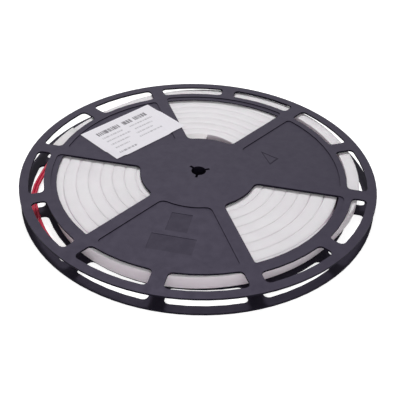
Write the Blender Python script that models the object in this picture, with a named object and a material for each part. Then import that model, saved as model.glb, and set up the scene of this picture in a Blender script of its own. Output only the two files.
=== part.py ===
"""Neon flex strip wound flat on a two part plastic reel, with its lead and label.

The reel lies on its side: the winding axis is +Z and the lower flange rests on
the ground plane. Two like mouldings, each a flange with half of the hub, face
each other and carry the winding between them.
All sizes are in metres and all angles in degrees unless a name says otherwise.
"""

import math

import bmesh
import bpy
from mathutils import Matrix, Vector

# Clearance between neighbouring pieces, and length of a seam too short to keep
GAP = 0.0003
SEAM = 0.000002

# Flanges
RIM_RADIUS = 0.1650
FLANGE_THICKNESS = 0.0018
WINDING_SPACE = 0.0147
RIM_BAND = 0.0082
WINDOW_SLOT_WIDTH = 0.0138
PANEL_SLOT_WIDTH = 0.0187
RING_WIDTH = 0.0062
WINDOW_LEDGE = 0.0052
WINDOW_REBATE = 0.0003
RECESS_DEPTH = 0.0009
SPOKE_WIDTH = 0.0120
BAR_WIDTH = 0.0130
HUB_DISC_RADIUS = 0.0546
SLOT_CORNER = 0.0042
WINDOW_INNER_CORNER = 0.0056
WINDOW_OUTER_CORNER = 0.0020
RECESS_OUTER_CORNER = 0.0048
PANEL_OUTER_CORNER = 0.0034
PANEL_INNER_CORNER = 0.0062

# The reel has three windows and three panels; its first panel is centred here
SECTORS = 6
FIRST_PANEL_AZIMUTH = 18.5

# Two shallow rectangular insert marks on the middle line of one panel
MARK_PANEL = 4
MARK_DEPTH = 0.00025
SMALL_MARK_ACROSS = 0.0188
SMALL_MARK_ALONG = 0.0240
SMALL_MARK_FROM_HUB = 0.0100
WIDE_MARK_ACROSS = 0.0390
WIDE_MARK_ALONG = 0.0196
WIDE_MARK_FROM_RING = 0.0174

# Hub
ARBOR_RADIUS = 0.0069
KEY_WIDTH = 0.0024
KEY_REACH = 0.0108
HUB_RADIUS = 0.0470
HUB_WALL = 0.0022
BOSS_WALL = 0.0045
RIB_THICKNESS = 0.0018
POST_CIRCLE_RADIUS = 0.0310
POST_RADIUS = 0.0038
PEG_RADIUS = 0.0018
PEG_LENGTH = 0.0045
SOCKET_CLEARANCE = 0.0003

# Strip and its winding
STRIP_WIDTH = 0.0101
STRIP_HEIGHT = 0.0130
STRIP_DOME = 0.0024
TURN_PITCH = 0.0110
FIRST_TURN_PLAY = 0.0007
SHIFT_X = -0.0008
START_AZIMUTH = 95.5
WHOLE_TURNS = 8
END_AZIMUTH = 154.8
HUB_TOUCH_AZIMUTH = 171.0

# The inner end lies over itself, so every turn bulges on that side of the hub
BULGE_AZIMUTH = 88.0
BULGE_FIRST = 0.0138
BULGE_LAST = 0.0108
BULGE_SPREAD_BEFORE = 45.0
BULGE_SPREAD_AFTER = 37.0

# How far the slack parts stand off the even winding: turn number, azimuth, lift
SLACK = (
    (0, 84.0, -0.0009),
    (0, 112.0, -0.0009),
    (0, 150.0, 0.0),
    (5, 250.0, 0.0),
    (5, 346.0, 0.0005),
    (6, 80.0, 0.0),
    (6, 270.0, 0.0),
    (6, 315.0, 0.0003),
    (6, 346.0, 0.0015),
    (7, 20.0, 0.0010),
    (7, 80.0, 0.0),
    (7, 150.0, 0.0),
    (7, 171.0, -0.0003),
    (7, 200.0, 0.0008),
    (7, 226.0, 0.0021),
    (7, 252.0, 0.0019),
    (7, 284.0, 0.0001),
    (7, 310.0, 0.0003),
    (7, 329.0, 0.0023),
    (7, 347.0, 0.0085),
    (8, 4.0, 0.0116),
    (8, 24.0, 0.0135),
    (8, 42.0, 0.0132),
    (8, 60.0, 0.0102),
    (8, 75.0, 0.0069),
    (8, 90.0, 0.0046),
    (8, 110.0, 0.0018),
    (8, 134.0, -0.0002),
    (8, 150.0, 0.0009),
    (8, 167.0, 0.0024),
)

# End caps, sleeves of the strip's own silicone that bend with it
CAP_CLEARANCE = 0.0003
CAP_FLOOR = 0.0003
CAP_DOME = 0.0012
CAP_POCKET = 0.0088
CAP_CHAMFER = 0.0012
OUTLET_CAP_LENGTH = 0.0380
OUTLET_CAP_WIDTH = 0.0132
CLOSED_CAP_LENGTH = 0.0222
CLOSED_CAP_WIDTH = 0.0117

# The strip rises off the flange near its ends, up to the pockets of its caps
RISE_RUN = 0.0500

# Two core lead
WIRE_DIAMETER = 0.00275
WIRE_END_DIAMETER = 0.0013
WIRE_END_LENGTH = 0.0060
LEAD_ROUTE = (
    (170.6, 0.1450, 0.78),
    (175.4, 0.1478, 0.25),
    (179.5, 0.1499, 0.06),
    (184.0, 0.1519, 0.0),
    (188.5, 0.1530, 0.0),
    (195.5, 0.1530, 0.0),
    (204.5, 0.1528, 0.0),
    (213.0, 0.1530, 0.0),
    (221.5, 0.1531, 0.0),
)

# Paper label, stuck across one panel and on to the spokes beside it
LABEL_LENGTH = 0.0878
LABEL_WIDTH = 0.0578
LABEL_THICKNESS = 0.0002
LABEL_PANEL = 2
LABEL_FROM_RING = 0.0013
LABEL_AZIMUTH = 135.6
LABEL_TURN = 44.8
LABEL_RAMP = 0.0040

# Facets
RIM_FACETS = 96
HUB_FACETS = 48
SMALL_FACETS = 16
ARC_STEP = 6.0
CORNER_FACETS = 3
DOME_POINTS = 5
STRIP_SAGITTA = 0.00026
CAP_STEP = 0.0045
CAPPED_RUN = 1.5 * CAP_POCKET
WIRE_STEP = 3 * WIRE_DIAMETER
STRIP_SHARP_ANGLE = 50.0
CAP_SHARP_ANGLE = 35.0

# Derived sizes of the reel
REEL_HEIGHT = WINDING_SPACE + 2 * FLANGE_THICKNESS
MID_HEIGHT = REEL_HEIGHT / 2
INNER_FACE = WINDING_SPACE / 2
OUTER_FACE = INNER_FACE + FLANGE_THICKNESS
PAST = FLANGE_THICKNESS
SECTOR_ANGLE = 360.0 / SECTORS
SLOT_OUTER = RIM_RADIUS - RIM_BAND
WINDOW_SLOT_INNER = SLOT_OUTER - WINDOW_SLOT_WIDTH
PANEL_SLOT_INNER = SLOT_OUTER - PANEL_SLOT_WIDTH
WINDOW_RECESS_OUTER = WINDOW_SLOT_INNER - RING_WIDTH
PANEL_RECESS_OUTER = PANEL_SLOT_INNER - RING_WIDTH
WINDOW_OUTER = WINDOW_RECESS_OUTER - WINDOW_LEDGE
RECESS_FLOOR = OUTER_FACE - RECESS_DEPTH
BOSS_RADIUS = KEY_REACH + BOSS_WALL
LABEL_CORNER_RADIUS = PANEL_RECESS_OUTER - LABEL_FROM_RING
LABEL_RADIUS = math.sqrt(LABEL_CORNER_RADIUS**2 - (LABEL_LENGTH / 2) ** 2) - LABEL_WIDTH / 2

# Derived sizes of the winding and its caps
STRIP_BASE = FLANGE_THICKNESS + GAP
END_RISE = CAP_FLOOR + CAP_CLEARANCE
CAP_TOP = REEL_HEIGHT - FLANGE_THICKNESS - GAP
CAP_MIDDLE = (STRIP_BASE + CAP_TOP) / 2
FIRST_TURN_RADIUS = HUB_RADIUS + FIRST_TURN_PLAY + STRIP_WIDTH / 2 + SHIFT_X
START_TURN_ANGLE = START_AZIMUTH
END_TURN_ANGLE = 360.0 * WHOLE_TURNS + END_AZIMUTH


def material(name, color, roughness, metallic=0.0):
    """Principled material with one plain finish."""
    made = bpy.data.materials.new(name)
    made.use_nodes = True
    shader = made.node_tree.nodes["Principled BSDF"]
    shader.inputs["Base Color"].default_value = (*color, 1.0)
    shader.inputs["Roughness"].default_value = roughness
    shader.inputs["Metallic"].default_value = metallic
    return made


def add_object(name, mesh, finish=None):
    """Put a mesh in the scene as a named object."""
    made = bpy.data.objects.new(name, mesh)
    bpy.context.scene.collection.objects.link(made)
    if finish is not None:
        mesh.materials.append(finish)
    return made


def mesh_from_bmesh(name, shape):
    """Close a bmesh into a mesh whose faces all point outward."""
    bmesh.ops.recalc_face_normals(shape, faces=shape.faces)
    mesh = bpy.data.meshes.new(name)
    shape.to_mesh(mesh)
    shape.free()
    return mesh


def polar(radius, azimuth):
    """Point in the plane at a radius and an azimuth in degrees."""
    angle = math.radians(azimuth)
    return Vector((radius * math.cos(angle), radius * math.sin(angle)))


def arc(centre, radius, start, end, steps):
    """Points of an arc from one azimuth to another, both ends included."""
    points = []
    for step in range(steps + 1):
        azimuth = start + (end - start) * step / steps
        points.append(Vector(centre) + polar(radius, azimuth))
    return points


def sector_outline(inner, outer, middle, half_angle, half_bar, inner_corner, outer_corner):
    """Outline of an opening between two radial bars, with filleted corners.

    The bars' centre lines stand half_angle either side of the middle azimuth, and
    the opening's straight sides run parallel to them at half_bar.
    """
    outer_across = half_bar + outer_corner
    outer_along = math.sqrt((outer - outer_corner) ** 2 - outer_across**2)
    inner_across = half_bar + inner_corner
    inner_along = math.sqrt((inner + inner_corner) ** 2 - inner_across**2)
    outer_turn = math.degrees(math.atan2(outer_across, outer_along))
    inner_turn = math.degrees(math.atan2(inner_across, inner_along))

    half = arc((inner_along, inner_across), inner_corner, 180.0 + inner_turn, 270.0, CORNER_FACETS)
    half += arc((outer_along, outer_across), outer_corner, -90.0, outer_turn, CORNER_FACETS)
    turn = Matrix.Rotation(math.radians(-half_angle), 2)
    half = [turn @ point for point in half]
    mirrored = [Vector((point.x, -point.y)) for point in reversed(half)]

    outer_free = half_angle - outer_turn
    inner_free = half_angle - inner_turn
    outer_steps = max(2, round(2 * outer_free / ARC_STEP))
    inner_steps = max(2, round(2 * inner_free / ARC_STEP))
    outline = half
    outline += arc((0, 0), outer, -outer_free, outer_free, outer_steps)[1:-1]
    outline += mirrored
    outline += arc((0, 0), inner, inner_free, -inner_free, inner_steps)[1:-1]
    place = Matrix.Rotation(math.radians(middle), 2)
    return [place @ point for point in outline]


def add_prism(shape, outline, low, high):
    """Add an upright closed prism over an outline to a bmesh."""
    bottom = [shape.verts.new((point.x, point.y, low)) for point in outline]
    top = [shape.verts.new((point.x, point.y, high)) for point in outline]
    shape.faces.new(list(reversed(bottom)))
    shape.faces.new(top)
    count = len(outline)
    for index in range(count):
        after = (index + 1) % count
        shape.faces.new((bottom[index], bottom[after], top[after], top[index]))


def circle(centre, radius, facets):
    """Closed ring of points around a centre."""
    return arc(centre, radius, 0.0, 360.0 * (facets - 1) / facets, facets - 1)


def rectangle(centre, length, width, turn):
    """Corners of a rectangle turned about its own centre."""
    rotation = Matrix.Rotation(math.radians(turn), 2)
    corners = ((-1, -1), (1, -1), (1, 1), (-1, 1))
    return [
        Vector(centre) + rotation @ Vector((x * length / 2, y * width / 2))
        for x, y in corners
    ]


def prisms(name, parts):
    """One tool mesh made of several prisms that stand clear of each other."""
    shape = bmesh.new()
    for outline, low, high in parts:
        add_prism(shape, outline, low, high)
    return mesh_from_bmesh(name, shape)


def combine(target, mesh, operation):
    """Cut or join a tool mesh, then take the tool away again."""
    tool = add_object(mesh.name, mesh)
    tool.hide_render = True
    tool.display_type = "WIRE"
    step = target.modifiers.new(mesh.name, "BOOLEAN")
    step.operation = operation
    step.solver = "EXACT"
    step.object = tool
    graph = bpy.context.evaluated_depsgraph_get()
    result = bpy.data.meshes.new_from_object(target.evaluated_get(graph))
    target.modifiers.clear()
    target.data = result
    bpy.data.objects.remove(tool)


def sector_middle(index):
    """Azimuth of the middle of a sector; even sectors are panels."""
    return FIRST_PANEL_AZIMUTH + SECTOR_ANGLE * index


def slot_outlines():
    """Two slots in the rim over every sector, either side of its bar."""
    outlines = []
    for index in range(SECTORS):
        inner = PANEL_SLOT_INNER if index % 2 == 0 else WINDOW_SLOT_INNER
        for side in (-1, 1):
            middle = sector_middle(index) + side * SECTOR_ANGLE / 4
            outlines.append(
                sector_outline(
                    inner, SLOT_OUTER, middle, SECTOR_ANGLE / 4,
                    BAR_WIDTH / 2, SLOT_CORNER, SLOT_CORNER,
                )
            )
    return outlines


def window_outlines():
    """Open windows in every second sector, inside a narrow rebate."""
    return [
        sector_outline(
            HUB_DISC_RADIUS + WINDOW_REBATE, WINDOW_OUTER, sector_middle(index),
            SECTOR_ANGLE / 2, SPOKE_WIDTH / 2 + WINDOW_REBATE,
            WINDOW_INNER_CORNER - WINDOW_REBATE, WINDOW_OUTER_CORNER,
        )
        for index in range(1, SECTORS, 2)
    ]


def recess_outlines():
    """Stepped down areas: whole panels, and the rebates round the windows."""
    outlines = []
    for index in range(SECTORS):
        if index % 2 == 0:
            outer = PANEL_RECESS_OUTER
            inner_corner = PANEL_INNER_CORNER
            outer_corner = PANEL_OUTER_CORNER
        else:
            outer = WINDOW_RECESS_OUTER
            inner_corner = WINDOW_INNER_CORNER
            outer_corner = RECESS_OUTER_CORNER
        outlines.append(
            sector_outline(
                HUB_DISC_RADIUS, outer, sector_middle(index), SECTOR_ANGLE / 2,
                SPOKE_WIDTH / 2, inner_corner, outer_corner,
            )
        )
    return outlines


def mark_outlines():
    """The two insert marks, square to their panel's middle line."""
    azimuth = sector_middle(MARK_PANEL)
    small_radius = HUB_DISC_RADIUS + SMALL_MARK_FROM_HUB + SMALL_MARK_ALONG / 2
    wide_radius = PANEL_RECESS_OUTER - WIDE_MARK_FROM_RING - WIDE_MARK_ALONG / 2
    return [
        rectangle(polar(small_radius, azimuth), SMALL_MARK_ALONG, SMALL_MARK_ACROSS, azimuth),
        rectangle(polar(wide_radius, azimuth), WIDE_MARK_ALONG, WIDE_MARK_ACROSS, azimuth),
    ]


def arbor_outline():
    """Round arbor hole with three keyways."""
    half_key = KEY_WIDTH / 2
    key_turn = math.degrees(math.asin(half_key / ARBOR_RADIUS))
    outline = []
    for index in range(SECTORS // 2):
        azimuth = FIRST_PANEL_AZIMUTH + 2 * SECTOR_ANGLE * index
        turn = Matrix.Rotation(math.radians(azimuth), 2)
        outline.append(turn @ Vector((KEY_REACH, -half_key)))
        outline.append(turn @ Vector((KEY_REACH, half_key)))
        outline += arc(
            (0, 0), ARBOR_RADIUS, azimuth + key_turn,
            azimuth + 2 * SECTOR_ANGLE - key_turn, SMALL_FACETS // 2,
        )
    return outline


def posts(offset):
    """Centres of the three pegs, or of the three sockets between them."""
    first = FIRST_PANEL_AZIMUTH + SECTOR_ANGLE / 2 + offset
    return [polar(POST_CIRCLE_RADIUS, first + 2 * SECTOR_ANGLE * index) for index in range(SECTORS // 2)]


def rib_outlines():
    """Six ribs from the boss to the hub wall, under the middle of each sector."""
    inner = BOSS_RADIUS - HUB_WALL / 2
    outer = HUB_RADIUS - HUB_WALL / 2
    middle = (inner + outer) / 2
    return [
        rectangle(polar(middle, sector_middle(index)), outer - inner, RIB_THICKNESS, sector_middle(index))
        for index in range(SECTORS)
    ]


def reel_half_mesh():
    """One moulding: flange, half of the hub, pegs and sockets.

    It is made with its outer face up and the reel's middle plane at zero height.
    """
    disc = prisms("disc", [(circle((0, 0), RIM_RADIUS, RIM_FACETS), INNER_FACE, OUTER_FACE)])
    half = add_object("reel_half_blank", disc)

    foot = GAP / 2
    root = INNER_FACE + FLANGE_THICKNESS / 3
    hub_wall = prisms("hub_wall", [(circle((0, 0), HUB_RADIUS, HUB_FACETS), foot, root)])
    combine(half, hub_wall, "UNION")
    bore_radius = HUB_RADIUS - HUB_WALL
    hub_bore = prisms("hub_bore", [(circle((0, 0), bore_radius, HUB_FACETS), -PAST, INNER_FACE)])
    combine(half, hub_bore, "DIFFERENCE")

    boss = prisms("boss", [(circle((0, 0), BOSS_RADIUS, 2 * SMALL_FACETS), foot, root)])
    combine(half, boss, "UNION")
    ribs = prisms("ribs", [(outline, foot + GAP, root) for outline in rib_outlines()])
    combine(half, ribs, "UNION")

    post_parts = [
        (circle(centre, POST_RADIUS, SMALL_FACETS), foot, root)
        for centre in posts(0.0) + posts(SECTOR_ANGLE)
    ]
    combine(half, prisms("posts", post_parts), "UNION")
    peg_parts = [(circle(centre, PEG_RADIUS, SMALL_FACETS), -PEG_LENGTH, root) for centre in posts(0.0)]
    combine(half, prisms("pegs", peg_parts), "UNION")
    socket_radius = PEG_RADIUS + SOCKET_CLEARANCE
    socket_depth = PEG_LENGTH + 2 * SOCKET_CLEARANCE
    socket_parts = [
        (circle(centre, socket_radius, SMALL_FACETS), -PAST, socket_depth)
        for centre in posts(SECTOR_ANGLE)
    ]
    combine(half, prisms("sockets", socket_parts), "DIFFERENCE")

    high = OUTER_FACE + PAST
    recesses = [(outline, RECESS_FLOOR, high) for outline in recess_outlines()]
    combine(half, prisms("recesses", recesses), "DIFFERENCE")
    low = INNER_FACE - PAST
    through = [(outline, low, high) for outline in slot_outlines() + window_outlines()]
    combine(half, prisms("slots_and_windows", through), "DIFFERENCE")
    combine(half, prisms("arbor_hole", [(arbor_outline(), -PAST, high)]), "DIFFERENCE")

    for outline in mark_outlines():
        mark = prisms("insert_mark", [(outline, RECESS_FLOOR - MARK_DEPTH, high)])
        combine(half, mark, "DIFFERENCE")

    shape = bmesh.new()
    shape.from_mesh(half.data)
    bpy.data.objects.remove(half)
    bmesh.ops.dissolve_degenerate(shape, dist=SEAM, edges=shape.edges[:])
    return mesh_from_bmesh("reel_half_moulding", shape)


def make_reel():
    """Both halves: one mesh, the lower one turned over about a panel's middle line."""
    plastic = material("charcoal_plastic", (0.075, 0.067, 0.088), 0.45)
    mesh = reel_half_mesh()
    mesh.materials.clear()
    mesh.materials.append(plastic)
    place = Matrix.Translation((0, 0, MID_HEIGHT))
    upper = add_object("reel_half_upper", mesh)
    upper.matrix_world = place
    lower = add_object("reel_half_lower", mesh)
    axis = polar(1.0, FIRST_PANEL_AZIMUTH)
    lower.matrix_world = place @ Matrix.Rotation(math.pi, 4, Vector((axis.x, axis.y, 0.0)))


def smooth_value(knots, position):
    """Value of a smooth curve through knots of (position, value)."""
    if position <= knots[0][0]:
        return knots[0][1]
    if position >= knots[-1][0]:
        return knots[-1][1]
    index = 0
    while knots[index + 1][0] < position:
        index += 1

    def slope(at):
        """Slope of the curve at a knot, zero at both ends."""
        if at == 0 or at == len(knots) - 1:
            return 0.0
        return (knots[at + 1][1] - knots[at - 1][1]) / (knots[at + 1][0] - knots[at - 1][0])

    span = knots[index + 1][0] - knots[index][0]
    share = (position - knots[index][0]) / span
    square = share * share
    cube = square * share
    return (
        (2 * cube - 3 * square + 1) * knots[index][1]
        + (cube - 2 * square + share) * span * slope(index)
        + (3 * square - 2 * cube) * knots[index + 1][1]
        + (cube - square) * span * slope(index + 1)
    )


def winding_radius(turn_angle):
    """Radius of the strip's middle line, at an angle counted along the winding."""
    even = FIRST_TURN_RADIUS + TURN_PITCH * (turn_angle - HUB_TOUCH_AZIMUTH) / 360.0
    azimuth = turn_angle % 360.0
    shift = SHIFT_X * math.cos(math.radians(azimuth))
    away = (azimuth - BULGE_AZIMUTH + 180.0) % 360.0 - 180.0
    spread = BULGE_SPREAD_BEFORE if away < 0 else BULGE_SPREAD_AFTER
    share = (turn_angle - START_TURN_ANGLE) / (END_TURN_ANGLE - START_TURN_ANGLE)
    bulge = (BULGE_FIRST + (BULGE_LAST - BULGE_FIRST) * share) * math.exp(-((away / spread) ** 2))
    slack = smooth_value([(360.0 * turn + angle, value) for turn, angle, value in SLACK], turn_angle)
    return even + shift + bulge + slack


def winding_point(turn_angle):
    """Point of the strip's middle line in plan."""
    return polar(winding_radius(turn_angle), turn_angle)


def winding_direction(turn_angle):
    """Direction of the strip's middle line in plan."""
    step = 0.5
    ahead = winding_point(turn_angle + step) - winding_point(turn_angle - step)
    return ahead.normalized()


def strip_base(turn_angle):
    """Height of the strip's flat base, which rises near both ends."""
    from_end = min(turn_angle - START_TURN_ANGLE, END_TURN_ANGLE - turn_angle)
    along = math.radians(from_end) * winding_radius(turn_angle)
    share = min(1.0, max(0.0, (along - CAP_POCKET) / RISE_RUN))
    return STRIP_BASE + END_RISE * (1 - share * share * (3 - 2 * share))


def domed_section(width, base, top, dome):
    """Section as (across, height): flat base, upright sides and a domed top."""
    half = width / 2
    points = [(-half, base), (half, base)]
    for index in range(DOME_POINTS + 1):
        angle = math.pi * index / DOME_POINTS
        points.append((half * math.cos(angle), top - dome + dome * math.sin(angle)))
    return points


def add_ring(shape, turn_angle, section):
    """Corners of a section set square across the winding."""
    middle = winding_point(turn_angle)
    direction = winding_direction(turn_angle)
    outward = Vector((direction.y, -direction.x))
    ring = []
    for across, height in section:
        spot = middle + outward * across
        ring.append(shape.verts.new((spot.x, spot.y, height)))
    return ring


def add_skin(shape, rings):
    """Faces between rings that follow each other."""
    for ring, following in zip(rings, rings[1:]):
        for index in range(len(ring)):
            after = (index + 1) % len(ring)
            shape.faces.new((ring[index], ring[after], following[after], following[index]))


def winding_stations():
    """Angles along the winding, so close that no facet leaves the curve by much."""
    angles = [START_TURN_ANGLE]
    while angles[-1] < END_TURN_ANGLE:
        radius = winding_radius(angles[-1])
        step = 2 * math.acos(1 - STRIP_SAGITTA / radius)
        from_end = min(angles[-1] - START_TURN_ANGLE, END_TURN_ANGLE - angles[-1])
        if math.radians(from_end) * radius < CAPPED_RUN:
            step = CAP_STEP / radius
        angles.append(angles[-1] + math.degrees(step))
    angles[-1] = END_TURN_ANGLE
    return angles


def make_strip():
    """The whole winding as one solid."""
    shape = bmesh.new()
    rings = []
    for turn_angle in winding_stations():
        base = strip_base(turn_angle)
        section = domed_section(STRIP_WIDTH, base, base + STRIP_HEIGHT, STRIP_DOME)
        rings.append(add_ring(shape, turn_angle, section))
    add_skin(shape, rings)
    shape.faces.new(rings[0])
    shape.faces.new(rings[-1])
    mesh = mesh_from_bmesh("neon_flex_strip", shape)
    silicone = material("white_silicone", (0.80, 0.78, 0.79), 0.42)
    mesh.shade_smooth()
    mesh.set_sharp_from_angle(angle=math.radians(STRIP_SHARP_ANGLE))
    return add_object("neon_flex_strip", mesh, silicone)


def spread_angles(start, end, radius):
    """Angles from start to end, about one cap step apart at a radius."""
    steps = max(2, round(math.radians(abs(end - start)) * radius / CAP_STEP))
    return [start + (end - start) * step / steps for step in range(steps + 1)]


def make_cap(name, strip_end, sense, length, width, finish):
    """Sleeve over an end of the strip, solid beyond its pocket.

    Sense is 1 at the end of the winding and -1 at its start. Returns the angle of
    the sleeve's closed end, counted along the winding.
    """
    radius = winding_radius(strip_end)
    mouth = strip_end - sense * math.degrees(CAP_POCKET / radius)
    closed_end = mouth + sense * math.degrees(length / radius)
    pocket_end = strip_end + sense * math.degrees(CAP_CLEARANCE / radius)
    chamfer = sense * math.degrees(CAP_CHAMFER / radius)

    shape = bmesh.new()
    outside = domed_section(width, STRIP_BASE, CAP_TOP, CAP_DOME)
    outer = [
        add_ring(shape, angle, outside)
        for angle in spread_angles(mouth, closed_end - chamfer, radius)
    ]
    narrow = domed_section(
        width - 2 * CAP_CHAMFER, STRIP_BASE + CAP_CHAMFER, CAP_TOP - CAP_CHAMFER, CAP_DOME
    )
    outer.append(add_ring(shape, closed_end, narrow))

    base = STRIP_BASE + END_RISE
    pocket = domed_section(
        STRIP_WIDTH + 2 * CAP_CLEARANCE, base - CAP_CLEARANCE,
        base + STRIP_HEIGHT + CAP_CLEARANCE, STRIP_DOME,
    )
    inner = [add_ring(shape, angle, pocket) for angle in spread_angles(mouth, pocket_end, radius)]
    add_skin(shape, outer)
    add_skin(shape, inner)
    add_skin(shape, [outer[0], inner[0]])
    shape.faces.new(outer[-1])
    shape.faces.new(inner[-1])
    mesh = mesh_from_bmesh(name, shape)
    mesh.shade_smooth()
    mesh.set_sharp_from_angle(angle=math.radians(CAP_SHARP_ANGLE))
    add_object(name, mesh, finish)
    return closed_end


def lead_route(cap_end):
    """Hand set route of the lead's middle line, from the cap along the lower flange."""
    rest = FLANGE_THICKNESS + GAP + WIRE_DIAMETER / 2
    nose = winding_point(cap_end)
    direction = winding_direction(cap_end)
    route = []
    for distance in (GAP, 2 * WIRE_DIAMETER):
        spot = nose + direction * distance
        route.append(Vector((spot.x, spot.y, CAP_MIDDLE)))
    for azimuth, radius, height_share in LEAD_ROUTE:
        spot = polar(radius, azimuth)
        route.append(Vector((spot.x, spot.y, rest + (CAP_MIDDLE - rest) * height_share)))
    return route


def through_points(route, spacing):
    """Points of a smooth curve through a route, about one spacing apart."""
    points = [route[0]]
    for index in range(len(route) - 1):
        before = route[max(index - 1, 0)]
        start = route[index]
        end = route[index + 1]
        after = route[min(index + 2, len(route) - 1)]
        steps = max(1, round((end - start).length / spacing))
        for step in range(1, steps + 1):
            share = step / steps
            leave = (end - before) / 2
            arrive = (after - start) / 2
            points.append(
                (2 * share**3 - 3 * share**2 + 1) * start
                + (share**3 - 2 * share**2 + share) * leave
                + (3 * share**2 - 2 * share**3) * end
                + (share**3 - share**2) * arrive
            )
    return points


def make_tube(name, points, diameter, finish):
    """Round rod or wire along a list of points."""
    curve = bpy.data.curves.new(name, "CURVE")
    curve.dimensions = "3D"
    curve.bevel_depth = diameter / 2
    curve.bevel_resolution = 2
    curve.use_fill_caps = True
    spline = curve.splines.new("POLY")
    spline.points.add(len(points) - 1)
    for knot, point in zip(spline.points, points):
        knot.co = (*point, 1.0)
    return add_object(name, curve, finish)


def make_lead(cap_end):
    """Two insulated wires side by side, each with a bare end."""
    red = material("red_insulation", (0.60, 0.010, 0.045), 0.40)
    tinned = material("tinned_copper", (0.72, 0.70, 0.66), 0.35, 1.0)
    middle = through_points(lead_route(cap_end), WIRE_STEP)
    offset = (WIRE_DIAMETER + GAP) / 2
    for number, side in ((1, 1), (2, -1)):
        points = []
        for index, point in enumerate(middle):
            ahead = middle[min(index + 1, len(middle) - 1)] - middle[max(index - 1, 0)]
            across = Vector((ahead.y, -ahead.x, 0.0)).normalized()
            points.append(point + across * offset * side)
        make_tube("lead_wire_%d" % number, points, WIRE_DIAMETER, red)
        onward = (points[-1] - points[-2]).normalized()
        bare = [points[-1] + onward * GAP, points[-1] + onward * (GAP + WIRE_END_LENGTH)]
        make_tube("wire_end_%d" % number, bare, WIRE_END_DIAMETER, tinned)


def make_label():
    """Paper label: flat on the panel, ramped up where it crosses on to a spoke."""
    paper = material("white_paper", (0.74, 0.74, 0.78), 0.6)
    shape = bmesh.new()
    place = polar(LABEL_RADIUS, LABEL_AZIMUTH)
    corners = rectangle(place, LABEL_LENGTH, LABEL_WIDTH, LABEL_TURN)
    shape.faces.new([shape.verts.new((point.x, point.y, 0.0)) for point in corners])
    middle = sector_middle(LABEL_PANEL)
    panel_sides = [(polar(1.0, middle), HUB_DISC_RADIUS)]
    for side in (-1, 1):
        spoke = middle + side * SECTOR_ANGLE / 2
        panel_sides.append((polar(1.0, spoke - side * 90.0), SPOKE_WIDTH / 2))
    panel_sides = [(inward.to_3d(), edge) for inward, edge in panel_sides]
    for inward, edge in panel_sides:
        for distance in (edge, edge + LABEL_RAMP):
            geometry = shape.verts[:] + shape.edges[:] + shape.faces[:]
            bmesh.ops.bisect_plane(shape, geom=geometry, plane_co=inward * distance, plane_no=inward)
    floor = MID_HEIGHT + RECESS_FLOOR + GAP
    raised = MID_HEIGHT + OUTER_FACE + GAP
    for vert in shape.verts:
        inside = min(vert.co.dot(inward) - edge for inward, edge in panel_sides)
        share = min(1.0, max(0.0, inside / LABEL_RAMP))
        vert.co.z = raised + (floor - raised) * share
    lower = shape.faces[:]
    grown = bmesh.ops.extrude_face_region(shape, geom=lower, use_keep_orig=True)
    for item in grown["geom"]:
        if isinstance(item, bmesh.types.BMVert):
            item.co.z += LABEL_THICKNESS
    return add_object("paper_label", mesh_from_bmesh("paper_label", shape), paper)


def make_end_caps():
    """Both end caps; returns the angle at which the outlet cap ends."""
    white = material("cap_silicone", (0.82, 0.79, 0.80), 0.45)
    make_cap("end_cap_closed", START_TURN_ANGLE, -1, CLOSED_CAP_LENGTH, CLOSED_CAP_WIDTH, white)
    return make_cap(
        "end_cap_outlet", END_TURN_ANGLE, 1, OUTLET_CAP_LENGTH, OUTLET_CAP_WIDTH, white
    )


def clear_scene():
    """Start from an empty scene."""
    for item in list(bpy.data.objects):
        bpy.data.objects.remove(item)


clear_scene()
make_reel()
make_strip()
outlet_end = make_end_caps()
make_lead(outlet_end)
make_label()
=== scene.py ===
import math

import bmesh
import bpy
from mathutils import Matrix, Vector


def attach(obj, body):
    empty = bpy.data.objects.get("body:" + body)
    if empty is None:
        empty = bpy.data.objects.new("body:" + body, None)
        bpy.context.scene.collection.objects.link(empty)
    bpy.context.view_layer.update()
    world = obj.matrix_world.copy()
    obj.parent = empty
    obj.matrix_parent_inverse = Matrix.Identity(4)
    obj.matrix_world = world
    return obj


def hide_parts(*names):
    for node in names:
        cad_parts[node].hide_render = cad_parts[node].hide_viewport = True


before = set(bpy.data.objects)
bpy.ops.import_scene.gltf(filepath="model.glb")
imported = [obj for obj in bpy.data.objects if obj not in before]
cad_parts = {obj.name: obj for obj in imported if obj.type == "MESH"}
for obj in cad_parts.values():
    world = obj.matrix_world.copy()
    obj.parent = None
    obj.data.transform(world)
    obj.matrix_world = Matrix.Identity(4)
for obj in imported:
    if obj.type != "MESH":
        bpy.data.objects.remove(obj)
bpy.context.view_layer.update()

scene = bpy.context.scene
scene.view_settings.view_transform = "Standard"


# Camera
# It looks down on the reel from in front, about 38 degrees below level, and
# leans very slightly to one side.

CAMERA_PLACE = (0.0, -0.54295, 0.41315)
CAMERA_DOWN = 38.370
CAMERA_ASIDE = 0.229
CAMERA_LEAN = 1.867
CAMERA_LENS = 64.36

camera_data = bpy.data.cameras.new("camera")
camera_data.sensor_fit = "HORIZONTAL"
camera_data.sensor_width = 36.0
camera_data.lens = CAMERA_LENS
camera_data.clip_start = 0.01
camera_data.clip_end = 20.0
camera = bpy.data.objects.new("camera", camera_data)
scene.collection.objects.link(camera)
heading = Matrix.Rotation(math.radians(-CAMERA_ASIDE), 4, "Z")
tilt = Matrix.Rotation(math.radians(90.0 - CAMERA_DOWN), 4, "X")
lean = Matrix.Rotation(math.radians(CAMERA_LEAN), 4, "Z")
camera.matrix_world = Matrix.Translation(CAMERA_PLACE) @ heading @ tilt @ lean
scene.camera = camera


# Winding
# The strip is wound outward from the hub in an anticlockwise spiral. Every turn
# bulges on the far side, over the capped inner end, and the last turn stands away
# from the rest. The lead and both end caps follow from its ends.

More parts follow.
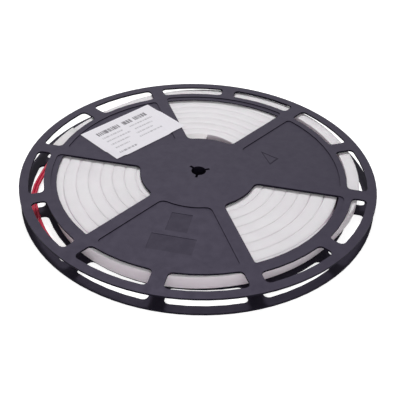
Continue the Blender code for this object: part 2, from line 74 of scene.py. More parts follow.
STRIP_WIDTH = 0.0101
STRIP_HEIGHT = 0.0130
STRIP_REST = 0.0021
END_RISE = 0.0006
RISE_RUN = 0.0500
CAP_POCKET = 0.0088
START_ANGLE = 95.5
END_ANGLE = 360.0 * 8 + 154.8
HUB_TOUCH_ANGLE = 171.0
FIRST_TURN_RADIUS = 0.05195
TURN_PITCH = 0.0110
SHIFT_X = -0.0008
BULGE_AZIMUTH = 88.0
BULGE_FIRST = 0.0138
BULGE_LAST = 0.0108
BULGE_SPREAD_BEFORE = 45.0
BULGE_SPREAD_AFTER = 37.0
DIRECTION_REACH = 0.5

# How far the slack parts stand off the even winding: turn number, azimuth, distance
SLACK = (
    (0, 84.0, -0.0009),
    (0, 112.0, -0.0009),
    (0, 150.0, 0.0),
    (4, 180.0, 0.0),
    (4, 232.0, 0.0004),
    (4, 290.0, 0.0),
    (5, 180.0, 0.0),
    (5, 232.0, 0.0008),
    (5, 290.0, 0.0001),
    (5, 346.0, 0.0005),
    (6, 80.0, 0.0),
    (6, 180.0, 0.0001),
    (6, 232.0, 0.0014),
    (6, 284.0, 0.0001),
    (6, 315.0, 0.0003),
    (6, 346.0, 0.0015),
    (7, 20.0, 0.0010),
    (7, 80.0, 0.0),
    (7, 150.0, 0.0),
    (7, 171.0, -0.0003),
    (7, 200.0, 0.0013),
    (7, 213.0, 0.0021),
    (7, 226.0, 0.0024),
    (7, 252.0, 0.0019),
    (7, 284.0, 0.0001),
    (7, 310.0, 0.0003),
    (7, 329.0, 0.0023),
    (7, 347.0, 0.0085),
    (8, 4.0, 0.0116),
    (8, 24.0, 0.0135),
    (8, 42.0, 0.0132),
    (8, 60.0, 0.0110),
    (8, 75.0, 0.0079),
    (8, 90.0, 0.0050),
    (8, 110.0, 0.0018),
    (8, 134.0, -0.0002),
    (8, 150.0, 0.0009),
    (8, 167.0, 0.0024),
)


def smooth_value(knots, position):
    """Value of a smooth curve through knots of (position, value)."""
    if position <= knots[0][0]:
        return knots[0][1]
    if position >= knots[-1][0]:
        return knots[-1][1]
    index = 0
    while knots[index + 1][0] < position:
        index += 1

    def slope(at):
        """Slope of the curve at a knot, zero at both ends."""
        if at == 0 or at == len(knots) - 1:
            return 0.0
        return (knots[at + 1][1] - knots[at - 1][1]) / (knots[at + 1][0] - knots[at - 1][0])

    span = knots[index + 1][0] - knots[index][0]
    share = (position - knots[index][0]) / span
    return (
        (2 * share**3 - 3 * share**2 + 1) * knots[index][1]
        + (share**3 - 2 * share**2 + share) * span * slope(index)
        + (3 * share**2 - 2 * share**3) * knots[index + 1][1]
        + (share**3 - share**2) * span * slope(index + 1)
    )


def polar(radius, azimuth):
    """Point in plan at a radius and an azimuth in degrees."""
    angle = math.radians(azimuth)
    return Vector((radius * math.cos(angle), radius * math.sin(angle)))


def winding_radius(angle):
    """Radius of the strip's middle line at an angle counted along the winding."""
    even = FIRST_TURN_RADIUS + TURN_PITCH * (angle - HUB_TOUCH_ANGLE) / 360.0
    azimuth = angle % 360.0
    shift = SHIFT_X * math.cos(math.radians(azimuth))
    away = (azimuth - BULGE_AZIMUTH + 180.0) % 360.0 - 180.0
    spread = BULGE_SPREAD_BEFORE if away < 0 else BULGE_SPREAD_AFTER
    share = (angle - START_ANGLE) / (END_ANGLE - START_ANGLE)
    bulge = (BULGE_FIRST + (BULGE_LAST - BULGE_FIRST) * share) * math.exp(-((away / spread) ** 2))
    slack = smooth_value([(360.0 * turn + at, value) for turn, at, value in SLACK], angle)
    return even + shift + bulge + slack


def winding_point(angle):
    """Point of the strip's middle line in plan."""
    return polar(winding_radius(angle), angle)


def winding_direction(angle):
    """Direction of the strip's middle line in plan."""
    ahead = winding_point(angle + DIRECTION_REACH) - winding_point(angle - DIRECTION_REACH)
    return ahead.normalized()


def strip_base(angle):
    """Height of the strip's flat base, which rises near both ends."""
    from_end = min(angle - START_ANGLE, END_ANGLE - angle)
    along = math.radians(from_end) * winding_radius(angle)
    share = min(1.0, max(0.0, (along - CAP_POCKET) / RISE_RUN))
    return STRIP_REST + END_RISE * (1 - share * share * (3 - 2 * share))


# Lead
# Two stranded copper wires in red plastic insulation leave the outer end cap
# side by side, drop to the lower flange and follow its rim. Their ends are bare.

WIRE_DIAMETER = 0.00275
WIRE_GAP = 0.0003
WIRES_APART = 0.00003
FLANGE_INNER_FACE = 0.0018
CAP_MIDDLE = 0.00915
OUTLET_CAP_LENGTH = 0.0380
WIRE_STEP = 3 * WIRE_DIAMETER
STRAND_RADIUS = 0.00021
STRAND_CIRCLE = 0.00042
OUTER_STRANDS = 6
STRAND_STEPS = 14
BARE_LENGTH = 0.0060
BARE_TWIST = 0.0075

# Azimuth, radius, and height as a share of the way up from the flange to the cap's middle
LEAD_ROUTE = (
    (170.6, 0.1450, 0.78),
    (175.4, 0.1478, 0.25),
    (179.5, 0.1499, 0.06),
    (184.0, 0.1519, 0.0),
    (188.5, 0.1530, 0.0),
    (195.5, 0.1530, 0.0),
    (204.5, 0.1528, 0.0),
    (213.0, 0.1530, 0.0),
    (221.5, 0.1531, 0.0),
)


def outlet_cap_angles():
    """Angles of the outlet cap's mouth and of its closed end along the winding."""
    radius = winding_radius(END_ANGLE)
    mouth = END_ANGLE - math.degrees(CAP_POCKET / radius)
    return mouth, mouth + math.degrees(OUTLET_CAP_LENGTH / radius)


def lead_route():
    """Route of the lead's middle line, from the cap along the lower flange."""
    rest = FLANGE_INNER_FACE + WIRE_GAP + WIRE_DIAMETER / 2
    cap_end = outlet_cap_angles()[1]
    route = []
    for distance in (WIRE_GAP, 2 * WIRE_DIAMETER):
        spot = winding_point(cap_end) + winding_direction(cap_end) * distance
        route.append(Vector((spot.x, spot.y, CAP_MIDDLE)))
    for azimuth, radius, height_share in LEAD_ROUTE:
        spot = polar(radius, azimuth)
        route.append(Vector((spot.x, spot.y, rest + (CAP_MIDDLE - rest) * height_share)))
    return route


def through_points(route, spacing):
    """Points of a smooth curve through a route, about one spacing apart."""
    points = [route[0]]
    for index in range(len(route) - 1):
        before = route[max(index - 1, 0)]
        start = route[index]
        end = route[index + 1]
        after = route[min(index + 2, len(route) - 1)]
        steps = max(1, round((end - start).length / spacing))
        for step in range(1, steps + 1):
            share = step / steps
            leave = (end - before) / 2
            arrive = (after - start) / 2
            points.append(
                (2 * share**3 - 3 * share**2 + 1) * start
                + (share**3 - 2 * share**2 + share) * leave
                + (3 * share**2 - 2 * share**3) * end
                + (share**3 - share**2) * arrive
            )
    return points


def node_material(name, color, roughness, **sockets):
    """Principled material; other sockets are given by name with _ for a space."""
    made = bpy.data.materials.new(name)
    made.use_nodes = True
    shader = made.node_tree.nodes["Principled BSDF"]
    shader.inputs["Base Color"].default_value = (*color, 1.0)
    shader.inputs["Roughness"].default_value = roughness
    for key, value in sockets.items():
        shader.inputs[key.replace("_", " ")].default_value = value
    return made, made.node_tree, shader


def set_input(tree, socket, value):
    """Give an input a number, a colour of three numbers or another node's output."""
    if isinstance(value, bpy.types.NodeSocket):
        tree.links.new(value, socket)
    else:
        socket.default_value = (*value, 1.0) if isinstance(value, tuple) else value


def calculate(tree, operation, *values):
    """Output of a math node whose inputs are numbers or other outputs."""
    node = tree.nodes.new("ShaderNodeMath")
    node.operation = operation
    for value, socket in zip(values, node.inputs):
        set_input(tree, socket, value)
    return node.outputs["Value"]


def add_noise(tree, scale, detail=3.0, roughness=0.5):
    """Noise in object coordinates; returns its factor output."""
    noise = tree.nodes.new("ShaderNodeTexNoise")
    noise.inputs["Scale"].default_value = scale
    noise.inputs["Detail"].default_value = detail
    noise.inputs["Roughness"].default_value = roughness
    tree.links.new(tree.nodes.new("ShaderNodeTexCoord").outputs["Object"], noise.inputs["Vector"])
    return noise.outputs["Fac"]


def blend_colors(tree, factor, first, second):
    """Colour that goes from first to second with a factor."""
    mix = tree.nodes.new("ShaderNodeMix")
    mix.data_type = "RGBA"
    set_input(tree, mix.inputs["A"], first)
    set_input(tree, mix.inputs["B"], second)
    tree.links.new(factor, mix.inputs["Factor"])
    return mix.outputs["Result"]


def rescale(tree, value, low, high, new_low, new_high):
    """Map a factor from one range to another, held inside the new one."""
    node = tree.nodes.new("ShaderNodeMapRange")
    node.inputs["From Min"].default_value = low
    node.inputs["From Max"].default_value = high
    node.inputs["To Min"].default_value = new_low
    node.inputs["To Max"].default_value = new_high
    tree.links.new(value, node.inputs["Value"])
    return node.outputs["Result"]


def add_bump(tree, shader, height, distance):
    """Bump from a height factor; distance is its depth in metres."""
    bump = tree.nodes.new("ShaderNodeBump")
    bump.inputs["Distance"].default_value = distance
    bump.inputs["Strength"].default_value = 1.0
    tree.links.new(height, bump.inputs["Height"])
    tree.links.new(bump.outputs["Normal"], shader.inputs["Normal"])


def red_insulation():
    """Soft plastic insulation, a little uneven in gloss from handling."""
    made, tree, shader = node_material(
        "red_insulation", (0.62, 0.014, 0.060), 0.40, Specular_IOR_Level=0.35,
        Subsurface_Weight=0.1, Subsurface_Scale=0.001,
    )
    streaks = add_noise(tree, 900.0)
    color = blend_colors(
        tree, rescale(tree, streaks, 0.3, 0.7, 0, 1), (0.59, 0.012, 0.055), (0.65, 0.016, 0.066)
    )
    tree.links.new(color, shader.inputs["Base Color"])
    tree.links.new(rescale(tree, streaks, 0.3, 0.7, 0.36, 0.46), shader.inputs["Roughness"])
    add_bump(tree, shader, add_noise(tree, 2600.0), 0.00001)
    return made


def tinned_copper():
    """Dull silver tin over copper."""
    made, tree, shader = node_material("tinned_copper", (0.74, 0.71, 0.66), 0.34, Metallic=1.0)
    patches = add_noise(tree, 1500.0)
    color = blend_colors(tree, patches, (0.78, 0.76, 0.72), (0.66, 0.60, 0.52))
    tree.links.new(color, shader.inputs["Base Color"])
    add_bump(tree, shader, add_noise(tree, 5000.0), 0.00002)
    return made


def tube_curve(name, lines, radius, finish):
    """One curve object of round rods, each along a list of points."""
    curve = bpy.data.curves.new(name, "CURVE")
    curve.dimensions = "3D"
    curve.bevel_depth = radius
    curve.bevel_resolution = 5
    curve.use_fill_caps = True
    for points in lines:
        spline = curve.splines.new("POLY")
        spline.points.add(len(points) - 1)
        spline.use_smooth = True
        for knot, point in zip(spline.points, points):
            knot.co = (*point, 1.0)
    curve.materials.append(finish)
    made = bpy.data.objects.new(name, curve)
    scene.collection.objects.link(made)
    return made


def bare_strands(start, onward):
    """Strands twisted round a straight one, from a point onward."""
    side = onward.cross(Vector((0, 0, 1))).normalized()
    up = side.cross(onward)
    lines = []
    for strand in range(OUTER_STRANDS + 1):
        reach = 0.0 if strand == OUTER_STRANDS else STRAND_CIRCLE
        line = []
        for step in range(STRAND_STEPS + 1):
            along = BARE_LENGTH * step / STRAND_STEPS
            angle = 2 * math.pi * (strand / OUTER_STRANDS + along / BARE_TWIST)
            across = side * math.cos(angle) + up * math.sin(angle)
            line.append(start + onward * along + across * reach)
        lines.append(line)
    return lines


def make_lead():
    """Both wires with their bare ends."""
    insulation = red_insulation()
    tin = tinned_copper()
    middle = through_points(lead_route(), WIRE_STEP)
    offset = WIRE_DIAMETER / 2 + WIRES_APART
    for number, side in ((1, 1), (2, -1)):
        points = []
        for index, point in enumerate(middle):
            ahead = middle[min(index + 1, len(middle) - 1)] - middle[max(index - 1, 0)]
            across = Vector((ahead.y, -ahead.x, 0.0)).normalized()
            points.append(point + across * offset * side)
        wire = tube_curve("red_wire_%d" % number, [points], WIRE_DIAMETER / 2, insulation)
        onward = (points[-1] - points[-2]).normalized()
        strands = bare_strands(points[-1] - onward * WIRE_GAP, onward)
        bare = tube_curve("bare_strands_%d" % number, strands, STRAND_RADIUS, tin)
        for piece in (wire, bare):
            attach(piece, "root")
        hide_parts("lead_wire_%d" % number)
        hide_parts("wire_end_%d" % number)


make_lead()


# Reel
# Two like half reels injection moulded in charcoal polystyrene, each a flange
# with half of the hub. Pegs on one hub half press into sockets on the other.

EDGE_ROUND = 0.00022
EDGE_ANGLE = 40.0
WELD_REACH = 0.000001
FLAT_ANGLE = 0.5
WALL_BELOW = 0.3
LEVEL_ABOVE = 0.8
PANEL_SHINE = 0.381
# Share of the sheen left on upright walls: painted shade, so that the walls read dark.
PAINTED_SHADE_WALL_SHINE = 0.1

# Duller heights: middle, reach either way, and the share of the shine that stays. They are the floor of
# the insert marks, which are duller in their own right, and the space between the flanges, where the
# lowered shine is painted shade.
DULL_MARKS_AND_SHADE_HEIGHTS = (
    (0.01715, 0.00006, 0.80),
    (0.00915, 0.00750, 0.55),
)


def upright_part(tree, name):
    """Upright part of the surface's Position or Normal."""
    split = tree.nodes.new("ShaderNodeSeparateXYZ")
    tree.links.new(tree.nodes.new("ShaderNodeNewGeometry").outputs[name], split.inputs["Vector"])
    return split.outputs["Z"]


def facing_up(tree):
    """Zero on upright walls, one on faces that lie level."""
    size = calculate(tree, "ABSOLUTE", upright_part(tree, "Normal"))
    return rescale(tree, size, WALL_BELOW, LEVEL_ABOVE, 0, 1)


def charcoal_plastic(name, shine):
    """Satin moulded plastic, duller in the insert marks, with painted shade: its sheen is turned down on
    upright walls and between the flanges.
    """
    made, tree, shader = node_material(
        name, (0.009, 0.0075, 0.014), 0.52, Specular_Tint=(0.795, 0.695, 1.0, 1.0)
    )
    flow = add_noise(tree, 9.0, 4.0)
    color = blend_colors(
        tree, rescale(tree, flow, 0.35, 0.65, 0, 1), (0.0082, 0.0069, 0.0130), (0.0098, 0.0081, 0.0152)
    )
    tree.links.new(color, shader.inputs["Base Color"])
    height = upright_part(tree, "Position")
    # Painted shade: upright walls keep only a small share of the sheen.
    level = rescale(tree, facing_up(tree), 0, 1, shine * PAINTED_SHADE_WALL_SHINE, shine)
    # Painted shade between the flanges, where the sheen is lowered; the insert marks are duller in their
    # own right.
    for middle, reach, share in DULL_MARKS_AND_SHADE_HEIGHTS:
        within = calculate(tree, "COMPARE", height, middle, reach)
        level = calculate(tree, "MULTIPLY", level, rescale(tree, within, 0, 1, 1.0, share))
    tree.links.new(level, shader.inputs["Specular IOR Level"])
    scuffs = add_noise(tree, 130.0, 5.0, roughness=0.65)
    tree.links.new(rescale(tree, scuffs, 0.35, 0.7, 0.54, 0.62), shader.inputs["Roughness"])
    add_bump(tree, shader, add_noise(tree, 1800.0, 2.0), 0.00002)
    return made


def soften(piece, finish, width):
    """Give a carried over solid its finish and small rounded edges."""
    piece.data.materials.clear()
    piece.data.materials.append(finish)
    weld = piece.modifiers.new("weld", "WELD")
    weld.merge_threshold = WELD_REACH
    flat = piece.modifiers.new("flat", "DECIMATE")
    flat.decimate_type = "DISSOLVE"
    flat.angle_limit = math.radians(FLAT_ANGLE)
    bevel = piece.modifiers.new("rounded", "BEVEL")
    bevel.width = width
    bevel.segments = 2
    bevel.limit_method = "ANGLE"
    bevel.angle_limit = math.radians(EDGE_ANGLE)
    bevel.face_strength_mode = "FSTR_ALL"
    weighted = piece.modifiers.new("weighted", "WEIGHTED_NORMAL")
    weighted.keep_sharp = True
    weighted.use_face_influence = True
    piece.data.shade_smooth()


plastic = charcoal_plastic("charcoal_plastic", PANEL_SHINE)
for node in ("reel_half_lower", "reel_half_upper"):
    soften(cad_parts[node], plastic, EDGE_ROUND)


# Neon flex strip
# White silicone extruded over a flexible circuit: a flat back, upright sides and
# a milky domed face that spreads the light. Five metres are wound on the reel.

STRIP_DOME = 0.0008
DOME_FULLNESS = 2.2
DOME_POINTS = 12
STRIP_EDGE = 0.0006
EDGE_SHARE = 0.3
STRIP_STEP = 1.6
TURN_SEAM = 0.00002
PRESS_LIMIT = 0.0007
PRESS_RUN = 0.0200
CAPPED_LENGTH = 0.0390
# Colour of the upright sides: painted shade, pinker and darker than the top.
PAINTED_SHADE_SIDE_COLOR = (0.88, 0.80, 0.86)


def milky_silicone(name, deep, pale, depth):
    """Silicone that light enters to a depth, with a dusty satin skin and sides painted pinker and darker
    as shade.
    """
    made, tree, shader = node_material(
        name, pale, 0.46, Specular_IOR_Level=0.35, Subsurface_Weight=1.0, Subsurface_Scale=depth,
        Subsurface_Radius=(1.0, 0.93, 0.97),
    )
    cloud = add_noise(tree, 45.0)
    skin = blend_colors(tree, rescale(tree, cloud, 0.3, 0.7, 0, 1), deep, pale)
    # Painted shade: upright sides take a pinker, darker colour than the top.
    color = blend_colors(tree, facing_up(tree), PAINTED_SHADE_SIDE_COLOR, skin)
    tree.links.new(color, shader.inputs["Base Color"])
    tree.links.new(rescale(tree, cloud, 0.3, 0.7, 0.40, 0.54), shader.inputs["Roughness"])
    add_bump(tree, shader, add_noise(tree, 1400.0, 2.0), 0.00002)
    return made


def domed_profile(width, base, top, dome, edge):
    """Section as (across, height): flat base, eased corners, upright sides and a low dome."""
    half = width / 2
    inset = edge * EDGE_SHARE
    points = [
        (-half, base + edge), (-half + inset, base + inset), (-half + edge, base),
        (half - edge, base), (half - inset, base + inset), (half, base + edge),
    ]
    for index in range(DOME_POINTS + 1):
        angle = math.pi * index / DOME_POINTS
        across = math.copysign(abs(math.cos(angle)) ** (2 / DOME_FULLNESS), math.cos(angle))
        rise = abs(math.sin(angle)) ** (2 / DOME_FULLNESS)
        points.append((half * across, top - dome + dome * rise))
    return points


def add_ring(shape, angle, section):
    """Corners of a section set square across the winding."""
    middle = winding_point(angle)
    direction = winding_direction(angle)
    ring = []
    for across, height in section:
        spot = middle + Vector((direction.y, -direction.x)) * across
        ring.append(shape.verts.new((spot.x, spot.y, height)))
    return ring


def add_skin(shape, rings):
    """Faces between rings that follow each other."""
    for ring, following in zip(rings, rings[1:]):
        for index in range(len(ring)):
            after = (index + 1) % len(ring)
            shape.faces.new((ring[index], ring[after], following[after], following[index]))


def finish_mesh(name, shape, finish, sharp):
    """Turn a closed bmesh into a smooth shaded piece with sharp edges kept."""
    bmesh.ops.recalc_face_normals(shape, faces=shape.faces)
    mesh = bpy.data.meshes.new(name)
    shape.to_mesh(mesh)
    shape.free()
    mesh.materials.append(finish)
    mesh.shade_smooth()
    mesh.set_sharp_from_angle(angle=math.radians(sharp))
    made = bpy.data.objects.new(name, mesh)
    scene.collection.objects.link(made)
    return made


def pressed_growth(angle):
    """How much each side spreads where the turns press on each other, clear of the caps."""
    radius = winding_radius(angle)
    across = winding_direction(angle).dot(polar(1.0, angle + 90.0))
    growth = PRESS_LIMIT
    nearest_end = 1.0
    for neighbour in (angle - 360.0, angle, angle + 360.0):
        around = winding_radius(neighbour)
        for strip_end in (START_ANGLE, END_ANGLE):
            nearest_end = min(nearest_end, abs(math.radians(neighbour - strip_end)) * around)
        if neighbour != angle and START_ANGLE <= neighbour <= END_ANGLE:
            space = abs(around - radius) * across - STRIP_WIDTH - TURN_SEAM
            growth = min(growth, space / 2)
    share = min(1.0, max(0.0, (nearest_end - CAPPED_LENGTH) / PRESS_RUN))
    return max(0.0, growth) * share


def make_strip():
    """The whole winding as one smooth extrusion."""
    shape = bmesh.new()
    count = round((END_ANGLE - START_ANGLE) / STRIP_STEP)
    rings = []
    for index in range(count + 1):
        angle = START_ANGLE + (END_ANGLE - START_ANGLE) * index / count
        base = strip_base(angle)
        width = STRIP_WIDTH + 2 * pressed_growth(angle)
        section = domed_profile(width, base, base + STRIP_HEIGHT, STRIP_DOME, STRIP_EDGE)
        rings.append(add_ring(shape, angle, section))
    add_skin(shape, rings)
    shape.faces.new(rings[0])
    shape.faces.new(rings[-1])
    silicone = milky_silicone("strip_silicone", (0.83, 0.803, 0.832), (0.88, 0.853, 0.882), 0.001)
    return finish_mesh("silicone_strip", shape, silicone, sharp=60)


strip = make_strip()
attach(strip, "root")
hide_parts("neon_flex_strip")


# End caps
# Sleeves moulded in the same silicone, glued over the strip's two ends. The outer
# one is long and lets the lead out, the inner one is short and closed.

CAP_BASE = 0.0021
CAP_TOP = 0.0162
CAP_DOME = 0.0008
CAP_EDGE = 0.0007
CAP_CLEARANCE = 0.0003
CAP_CHAMFER = 0.0012
CHAMFER_STEPS = 4
CAP_STEP = 0.0015
MOUTH_EASE = 0.0002
POCKET_EDGE = 0.0005
POCKET_STEPS = 6
OUTLET_CAP_WIDTH = 0.0132
CLOSED_CAP_LENGTH = 0.0222
CLOSED_CAP_WIDTH = 0.0117


def make_cap(name, strip_end, sense, length, width, finish):
    """Sleeve with a rounded closed end and an eased mouth.

    Sense is 1 at the end of the winding and -1 at its start.
    """
    radius = winding_radius(strip_end)
    mouth = strip_end - sense * math.degrees(CAP_POCKET / radius)
    shape = bmesh.new()

    def ring_at(distance, inset):
        """Ring round the outside, at a distance from the mouth and inset all round."""
        angle = mouth + sense * math.degrees(distance / radius)
        section = domed_profile(
            width - 2 * inset, CAP_BASE + inset, CAP_TOP - inset, CAP_DOME, CAP_EDGE
        )
        return add_ring(shape, angle, section)

    outer = [ring_at(0.0, MOUTH_EASE), ring_at(MOUTH_EASE, 0.0)]
    straight = length - CAP_CHAMFER
    steps = round(straight / CAP_STEP)
    for step in range(1, steps + 1):
        outer.append(ring_at(MOUTH_EASE + (straight - MOUTH_EASE) * step / steps, 0.0))
    for step in range(1, CHAMFER_STEPS + 1):
        turn = math.pi / 2 * step / CHAMFER_STEPS
        outer.append(ring_at(straight + CAP_CHAMFER * math.sin(turn), CAP_CHAMFER * (1 - math.cos(turn))))

    base = STRIP_REST + END_RISE
    pocket = domed_profile(
        STRIP_WIDTH + 2 * CAP_CLEARANCE, base - CAP_CLEARANCE,
        base + STRIP_HEIGHT + CAP_CLEARANCE, STRIP_DOME, POCKET_EDGE,
    )
    inner = []
    for step in range(POCKET_STEPS + 1):
        distance = (CAP_POCKET + CAP_CLEARANCE) * step / POCKET_STEPS
        inner.append(add_ring(shape, mouth + sense * math.degrees(distance / radius), pocket))
    add_skin(shape, outer)
    add_skin(shape, inner)
    add_skin(shape, [outer[0], inner[0]])
    shape.faces.new(outer[-1])
    shape.faces.new(inner[-1])
    return finish_mesh(name, shape, finish, sharp=50)


cap_rubber = milky_silicone("cap_silicone", (0.80, 0.765, 0.78), (0.86, 0.83, 0.845), 0.0006)
outlet_cap = make_cap(
    "outlet_cap", END_ANGLE, 1, OUTLET_CAP_LENGTH, OUTLET_CAP_WIDTH, cap_rubber
)
closed_cap = make_cap(
    "closed_cap", START_ANGLE, -1, CLOSED_CAP_LENGTH, CLOSED_CAP_WIDTH, cap_rubber
)
for piece, node in ((outlet_cap, "end_cap_outlet"), (closed_cap, "end_cap_closed")):
    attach(piece, "root")
    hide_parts(node)


# Recycling triangle
# A low raised outline moulded on one panel of the upper flange, near the hub. It
# is plain, with nothing inside it.

TRIANGLE_CORNERS = ((0.0604, 0.0361), (0.0768, 0.0251), (0.0680, 0.0147))
TRIANGLE_LINE = 0.0011
TRIANGLE_HEIGHT = 0.00016
TRIANGLE_SHINE = 0.188
MITRE = 2.0
PANEL_FACE = 0.0174

# Section across the line: share of the way inward, and share of the height
TRIANGLE_SECTION = ((0.0, 0.0), (0.1, 1.0), (0.9, 1.0), (1.0, 0.0))


def make_triangle(finish):
    """Triangular ring with mitred corners, low above the panel."""
    corners = [Vector(corner) for corner in TRIANGLE_CORNERS]
    middle = sum(corners, Vector((0, 0))) / 3
    shape = bmesh.new()
    rings = []
    for share, height in TRIANGLE_SECTION:
        ring = []
        for corner in corners:
            inward = (middle - corner).normalized() * TRIANGLE_LINE * MITRE * share
            spot = corner + inward
            ring.append(shape.verts.new((spot.x, spot.y, PANEL_FACE + TRIANGLE_HEIGHT * height)))
        rings.append(ring)
    add_skin(shape, rings + [rings[0]])
    return finish_mesh("recycling_triangle", shape, finish, sharp=20)


triangle = make_triangle(charcoal_plastic("dull_plastic", TRIANGLE_SHINE))
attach(triangle, "root")


# Label
# A rectangle of white printed paper stuck across one panel of the upper flange,
# with two corners up on the spokes beside it. Grey bars stand for its print.

LABEL_LENGTH = 0.0878
LABEL_WIDTH = 0.0578
LABEL_GRID = (44, 29)
LABEL_THICKNESS = 0.0002
LABEL_TURN = 44.8
LABEL_PLACE = (-0.0673, 0.0660)
LABEL_RAMP = 0.0040
LABEL_SPOKES = (108.5, 168.5)
LABEL_FLOOR = 0.0177
LABEL_RAISED = 0.0186
SPOKE_WIDTH = 0.0120
INK_COLOR = (0.07, 0.065, 0.08)
INK_COVER = 0.80
PRINT_PITCH = 80.0
PRINT_GAP = 0.43
PRINT_SEED_STEP = 7.0

# Rows of bars in shares of the sheet: middle, half height, start, end, seed, darkness
PRINT_ROWS = (
    (0.790, 0.055, 0.130, 0.450, 0.0, 1.00),
    (0.790, 0.055, 0.490, 0.625, 2.3, 1.00),
    (0.790, 0.055, 0.660, 0.845, 4.1, 1.00),
    (0.640, 0.020, 0.130, 0.420, 3.1, 0.50),
    (0.640, 0.020, 0.520, 0.860, 5.7, 0.50),
    (0.520, 0.020, 0.130, 0.470, 9.4, 0.50),
    (0.520, 0.020, 0.540, 0.800, 12.9, 0.50),
    (0.400, 0.020, 0.130, 0.400, 17.3, 0.50),
    (0.400, 0.020, 0.500, 0.740, 21.8, 0.50),
    (0.280, 0.020, 0.130, 0.330, 26.2, 0.50),
    (0.280, 0.020, 0.480, 0.820, 30.6, 0.50),
    (0.130, 0.024, 0.110, 0.360, 35.9, 0.72),
)


def printed_paper():
    """Matt paper with rows of grey bars printed on its face."""
    made, tree, shader = node_material("printed_paper", (0.78, 0.78, 0.81), 0.62, Specular_IOR_Level=0.3)
    place = tree.nodes.new("ShaderNodeUVMap")
    place.uv_map = "label"
    split = tree.nodes.new("ShaderNodeSeparateXYZ")
    tree.links.new(place.outputs["UV"], split.inputs["Vector"])
    along = split.outputs["X"]
    ink = None
    for middle, half_height, start, end, seed, darkness in PRINT_ROWS:
        row = calculate(tree, "COMPARE", split.outputs["Y"], middle, half_height)
        span = calculate(tree, "COMPARE", along, (start + end) / 2, (end - start) / 2)
        words = tree.nodes.new("ShaderNodeTexNoise")
        words.noise_dimensions = "1D"
        words.inputs["Scale"].default_value = 1.0
        words.inputs["Detail"].default_value = 0.0
        spot = calculate(tree, "MULTIPLY_ADD", along, PRINT_PITCH, seed * PRINT_SEED_STEP)
        tree.links.new(spot, words.inputs["W"])
        gaps = calculate(tree, "GREATER_THAN", words.outputs["Fac"], PRINT_GAP)
        bars = calculate(tree, "MULTIPLY", calculate(tree, "MULTIPLY", row, span), gaps)
        shown = calculate(tree, "MULTIPLY", bars, darkness)
        ink = shown if ink is None else calculate(tree, "MAXIMUM", ink, shown)
    fibres = add_noise(tree, 700.0, 4.0)
    paper = blend_colors(tree, fibres, (0.88, 0.855, 0.91), (0.925, 0.90, 0.955))
    printed = blend_colors(tree, calculate(tree, "MULTIPLY", ink, INK_COVER), paper, INK_COLOR)
    tree.links.new(printed, shader.inputs["Base Color"])
    add_bump(tree, shader, fibres, 0.00002)
    return made


def label_height(spot):
    """Height of the sheet's underside: low on the panel, raised on the spokes beside it."""
    inside = 1.0
    for spoke, sense in zip(LABEL_SPOKES, (1, -1)):
        inside = min(inside, spot.dot(polar(1.0, spoke + sense * 90.0)) - SPOKE_WIDTH / 2)
    share = min(1.0, max(0.0, inside / LABEL_RAMP))
    share = share * share * (3 - 2 * share)
    return LABEL_RAISED + (LABEL_FLOOR - LABEL_RAISED) * share


def make_label():
    """Sheet that lies on the panel and ramps up to the spokes at two corners."""
    shape = bmesh.new()
    layer = shape.loops.layers.uv.new("label")
    turn = Matrix.Rotation(math.radians(LABEL_TURN), 2)
    columns, rows = LABEL_GRID
    underside = [(row / rows, 0.0) for row in range(rows + 1)]
    topside = [(across, LABEL_THICKNESS) for across, lift in reversed(underside)]
    flat = {}
    rings = []
    for column in range(columns + 1):
        along = column / columns
        ring = []
        for across, lift in underside + topside:
            place = Vector(((along - 0.5) * LABEL_LENGTH, (across - 0.5) * LABEL_WIDTH))
            spot = Vector(LABEL_PLACE) + turn @ place
            vert = shape.verts.new((spot.x, spot.y, label_height(spot) + lift))
            flat[vert] = (along, across)
            ring.append(vert)
        rings.append(ring)
    add_skin(shape, rings)
    for ring in (rings[0], rings[-1]):
        for row in range(rows):
            shape.faces.new((ring[row], ring[row + 1], ring[-2 - row], ring[-1 - row]))
    for face in shape.faces:
        for loop in face.loops:
            loop[layer].uv = flat[loop.vert]
    return finish_mesh("label_sheet", shape, printed_paper(), sharp=50)


label = make_label()
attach(label, "root")
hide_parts("paper_label")


# Studio
# A white floor that keeps the shadow, a soft light from high behind the reel that
# shows as a sheen on its plastic, and a wide low one in front of it.

FLOOR_SIZE = 6.0
FLOOR_DROP = 0.0003
FLOOR_LIFT = 0.76
WORLD_LIGHT = 0.16

# Name, place, width and power of each lamp
LAMPS = (
    ("key_light", (-0.14, 1.05, 1.89), 0.40, 24.8),
    ("front_light", (0.15, -1.55, 0.72), 1.50, 15.4),
)


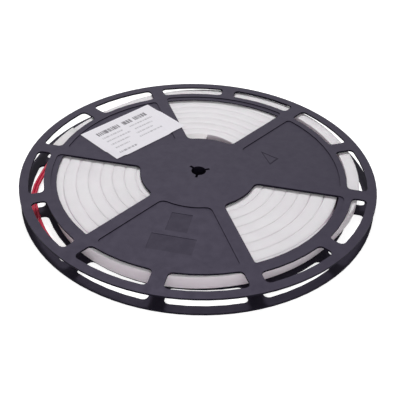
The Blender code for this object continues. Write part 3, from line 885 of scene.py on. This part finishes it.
def seen_ray(tree):
    """One for rays that show a background: from the camera, or by way of gloss or glass."""
    path = tree.nodes.new("ShaderNodeLightPath")
    seen = path.outputs["Is Camera Ray"]
    for kind in ("Is Glossy Ray", "Is Transmission Ray"):
        seen = calculate(tree, "MAXIMUM", seen, path.outputs[kind])
    return seen


def studio_floor():
    """White floor, lifted where it is seen so that it stays white outside the shadow."""
    made, tree, shader = node_material("white_floor", (0.80, 0.80, 0.80), 0.9, Specular_IOR_Level=0.0)
    lift = tree.nodes.new("ShaderNodeEmission")
    lift.inputs["Color"].default_value = (1.0, 1.0, 1.0, 1.0)
    tree.links.new(rescale(tree, seen_ray(tree), 0, 1, 0, FLOOR_LIFT), lift.inputs["Strength"])
    both = tree.nodes.new("ShaderNodeAddShader")
    tree.links.new(shader.outputs["BSDF"], both.inputs[0])
    tree.links.new(lift.outputs["Emission"], both.inputs[1])
    tree.links.new(both.outputs["Shader"], tree.nodes["Material Output"].inputs["Surface"])
    shape = bmesh.new()
    bmesh.ops.create_grid(shape, x_segments=1, y_segments=1, size=FLOOR_SIZE / 2)
    for vert in shape.verts:
        vert.co.z = -FLOOR_DROP
    return finish_mesh("floor", shape, made, sharp=30)


def studio_world():
    """Plain pale surround: white where it is seen, softer where it lights."""
    world = bpy.data.worlds.new("studio")
    world.use_nodes = True
    scene.world = world
    tree = world.node_tree
    ground = tree.nodes["Background"]
    ground.inputs["Color"].default_value = (1.0, 1.0, 1.0, 1.0)
    tree.links.new(rescale(tree, seen_ray(tree), 0, 1, WORLD_LIGHT, 1.0), ground.inputs["Strength"])


def add_lamp(name, place, size, power):
    """Square soft light aimed at the reel."""
    data = bpy.data.lights.new(name, "AREA")
    data.shape = "SQUARE"
    data.size = size
    data.energy = power
    lamp = bpy.data.objects.new(name, data)
    lamp.location = place
    lamp.rotation_euler = (-Vector(place)).to_track_quat("-Z", "Y").to_euler()
    scene.collection.objects.link(lamp)


studio_floor()
studio_world()
for lamp_name, lamp_place, lamp_size, lamp_power in LAMPS:
    add_lamp(lamp_name, lamp_place, lamp_size, lamp_power)
